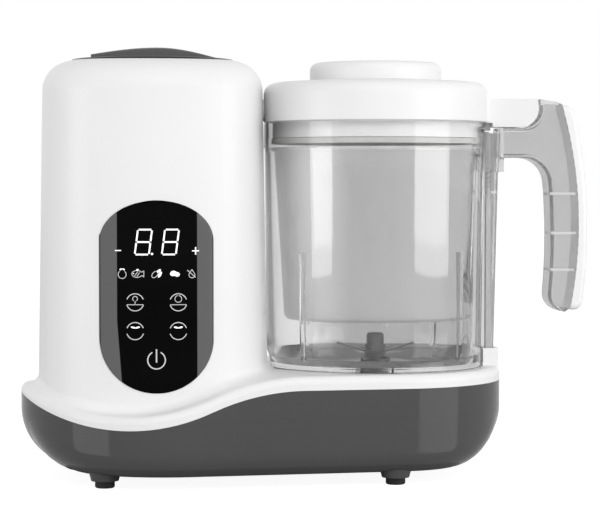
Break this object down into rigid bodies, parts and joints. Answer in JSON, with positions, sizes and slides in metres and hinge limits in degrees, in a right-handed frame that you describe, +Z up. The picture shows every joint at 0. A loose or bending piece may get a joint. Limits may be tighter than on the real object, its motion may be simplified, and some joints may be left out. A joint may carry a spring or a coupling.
{
  "type": "baby food maker",
  "caption": "Counter-top food steamer and blender: dark base, light water tower with touch panel, lift-off clear jug with lid, basket and blades, and a turning filler cap.",
  "frame": {"origin": "middle of the bounding box, on the worktop under the feet", "axes": "+X from the water tower to the jug handle, +Y to the back, away from the touch panel, +Z up"},
  "size_m": [0.3, 0.156, 0.2257],
  "materials": {
    "light_housing": "gloss",
    "dark_base": "satin",
    "black_panel": "high gloss",
    "board": "satin",
    "display": "satin",
    "steel": "satin",
    "tank_plastic": "satin",
    "soft_seal": "matt",
    "feet": "matt",
    "dark_nylon": "satin",
    "magnet": "satin",
    "bearing_metal": "satin",
    "rotor_metal": "satin",
    "fuse_metal": "satin",
    "clear_jug": "gloss",
    "smoky_handle": "gloss",
    "light_trim": "gloss"
  },
  "bodies": {
    "base": {"base_shell": "dark_base", "body_housing": "light_housing", "panel_lens": "black_panel", "display_module": "display", "display_board": "board", "touch_springs": "steel", "boiler_dish": "steel", "heating_element": "steel", "boiler_seal": "soft_seal", "boiler_tank": "tank_plastic", "filler_neck": "light_housing", "steam_pipe": "soft_seal", "steam_nozzle": "dark_nylon", "thermostat": "steel", "thermal_fuse": "fuse_metal", "power_board": "board", "motor_can": "steel", "motor_magnets": "magnet", "motor_bearings": "bearing_metal", "motor_bracket": "dark_base", "motor_dampers": "soft_seal", "motor_screws": "steel", "safety_switch": "display", "base_screws": "steel", "rubber_feet": "feet", "cord_gland": "dark_base", "cord_nut": "dark_base"},
    "rotor": {"motor_rotor": "rotor_metal", "motor_shaft": "steel", "cooling_fan": "dark_nylon", "drive_coupler": "dark_nylon"},
    "jug": {"jug_cup": "clear_jug", "jug_handle": "smoky_handle", "handle_cover": "light_trim", "blade_bush": "dark_nylon", "bush_seal": "soft_seal", "pushrod_spring": "steel"},
    "rod": {"pushrod": "light_trim"},
    "blades": {"blade_shaft": "steel", "jug_coupler": "dark_nylon", "lower_blades": "steel", "upper_blades": "steel", "blade_hub": "dark_nylon"},
    "basket": {"steam_basket": "clear_jug"},
    "lid_ring": {"lid_seal": "soft_seal"},
    "lid": {"lid_shell": "light_housing", "lid_dome": "light_trim", "lid_liner": "tank_plastic"},
    "cap_ring": {"cap_seal": "soft_seal"},
    "cap": {"water_cap": "dark_base", "cap_stem": "dark_nylon"},
    "switch": {"switch_plunger": "dark_nylon"}
  },
  "joints": [
    {"name": "motor_spin", "type": "hinge", "parent": "base", "child": "rotor", "pos_m": [0.0372, 0, 0], "axis": [0, 0, 1], "continuous": true},
    {"name": "jug_lift", "type": "slide", "parent": "base", "child": "jug", "axis": [0, 0, 1], "range_m": [0, 0.06]},
    {"name": "blade_spin", "type": "hinge", "parent": "jug", "child": "blades", "pos_m": [0.0372, 0, 0], "axis": [0, 0, 1], "continuous": true},
    {"name": "rod_slide", "type": "slide", "parent": "jug", "child": "rod", "axis": [0, 0, 1], "range_m": [0, 0.003], "deforming": ["pushrod_spring"]},
    {"name": "lid_lift", "type": "slide", "parent": "jug", "child": "lid_ring", "axis": [0, 0, 1], "range_m": [0, 0.19]},
    {"name": "lid_turn", "type": "hinge", "parent": "lid_ring", "child": "lid", "pos_m": [0.0372, 0, 0], "axis": [0, 0, 1], "range_deg": [0, 30]},
    {"name": "basket_lift", "type": "slide", "parent": "jug", "child": "basket", "axis": [0, 0, 1], "range_m": [0, 0.095]},
    {"name": "switch_slide", "type": "slide", "parent": "base", "child": "switch", "axis": [0, 0, 1], "range_m": [0, 0.003]},
    {"name": "cap_lift", "type": "slide", "parent": "base", "child": "cap_ring", "axis": [0, 0, 1], "range_m": [0, 0.03]},
    {"name": "cap_turn", "type": "hinge", "parent": "cap_ring", "child": "cap", "pos_m": [-0.0808, 0, 0], "axis": [0, 0, 1], "range_deg": [0, 40]}
  ],
  "couplings": [
    {"joint": "blade_spin", "follows": "motor_spin", "ratio": 1},
    {"joint": "basket_lift", "follows": "lid_lift", "ratio": 0.5},
    {"joint": "rod_slide", "follows": "lid_turn", "m_per_rad": 0.005729},
    {"joint": "switch_slide", "follows": "lid_turn", "m_per_rad": 0.005729}
  ]
}
